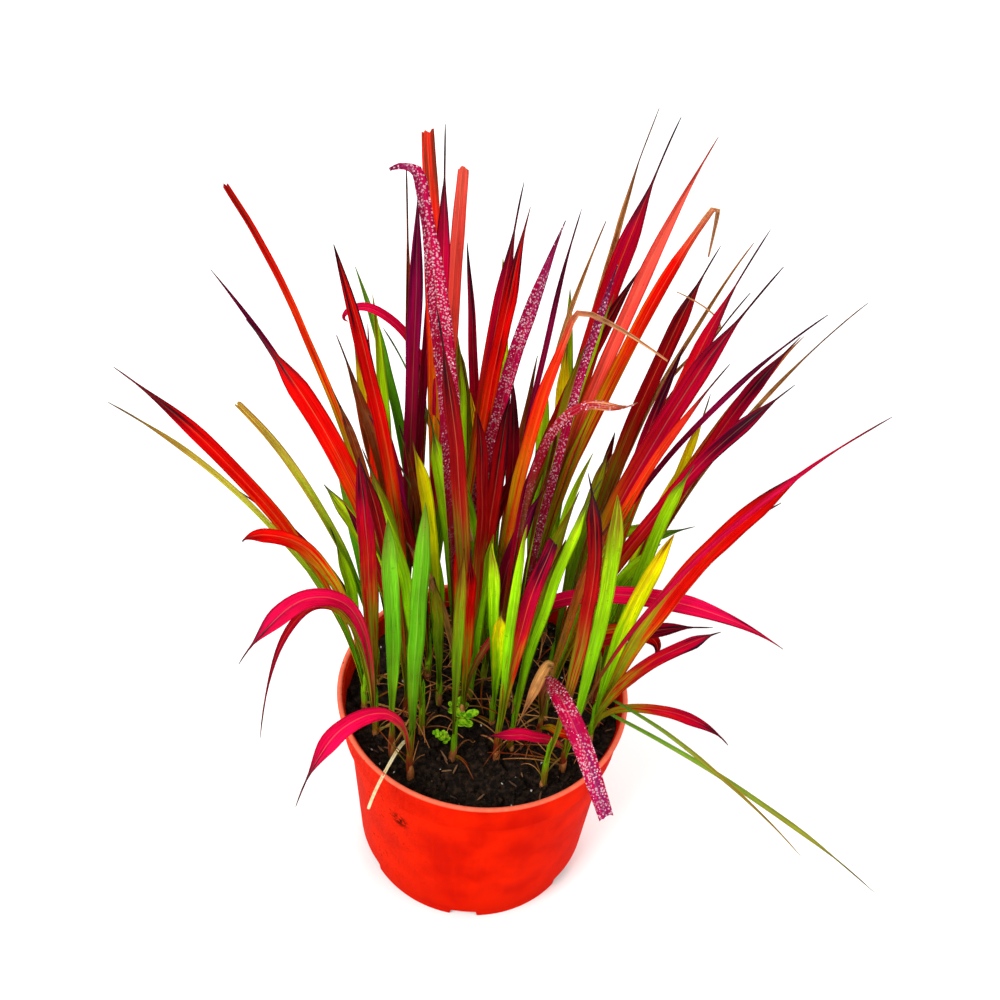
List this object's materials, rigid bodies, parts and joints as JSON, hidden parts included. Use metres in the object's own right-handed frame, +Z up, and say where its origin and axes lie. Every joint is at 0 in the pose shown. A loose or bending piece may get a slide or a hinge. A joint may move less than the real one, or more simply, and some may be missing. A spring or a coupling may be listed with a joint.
{
  "type": "potted japanese blood grass",
  "caption": "Tuft of ornamental grass with long narrow red and green blades, growing in soil in a round tapered plastic nursery pot.",
  "frame": {"origin": "middle of the pot's flat underside", "axes": "+Z up along the pot's axis, -Y towards the front of the plant, +X to the right seen from the front"},
  "size_m": [0.4047, 0.2574, 0.4797],
  "materials": {
    "pot_plastic": "satin injection-moulded orange-red plastic, lightly scuffed",
    "potting_soil": "damp, crumbly, near-black potting soil",
    "dry_straw": "dry pale stalk",
    "grass_leaf": "living leaf, lime at the base, crimson above, satin with fine veins"
  },
  "bodies": {
    "root": {"pot": "pot_plastic", "soil": "potting_soil", "straw": "dry_straw", "shoot_01": "grass_leaf", "shoot_02": "grass_leaf", "shoot_03": "grass_leaf", "shoot_04": "grass_leaf", "shoot_05": "grass_leaf", "shoot_06": "grass_leaf", "shoot_07": "grass_leaf", "shoot_08": "grass_leaf", "shoot_09": "grass_leaf", "shoot_10": "grass_leaf", "shoot_11": "grass_leaf", "shoot_12": "grass_leaf", "shoot_13": "grass_leaf", "shoot_14": "grass_leaf", "shoot_15": "grass_leaf", "shoot_16": "grass_leaf", "shoot_17": "grass_leaf", "shoot_18": "grass_leaf", "shoot_19": "grass_leaf", "shoot_20": "grass_leaf", "shoot_21": "grass_leaf", "shoot_22": "grass_leaf", "shoot_23": "grass_leaf", "shoot_24": "grass_leaf", "shoot_25": "grass_leaf", "shoot_26": "grass_leaf", "shoot_27": "grass_leaf", "shoot_28": "grass_leaf", "shoot_29": "grass_leaf", "shoot_30": "grass_leaf", "shoot_31": "grass_leaf", "shoot_32": "grass_leaf", "shoot_33": "grass_leaf", "shoot_34": "grass_leaf", "shoot_35": "grass_leaf", "shoot_36": "grass_leaf", "shoot_37": "grass_leaf", "shoot_38": "grass_leaf", "shoot_39": "grass_leaf", "shoot_40": "grass_leaf", "shoot_41": "grass_leaf", "shoot_42": "grass_leaf", "shoot_43": "grass_leaf", "shoot_44": "grass_leaf", "shoot_45": "grass_leaf", "shoot_46": "grass_leaf", "shoot_47": "grass_leaf", "shoot_48": "grass_leaf"}
  },
  "joints": []
}
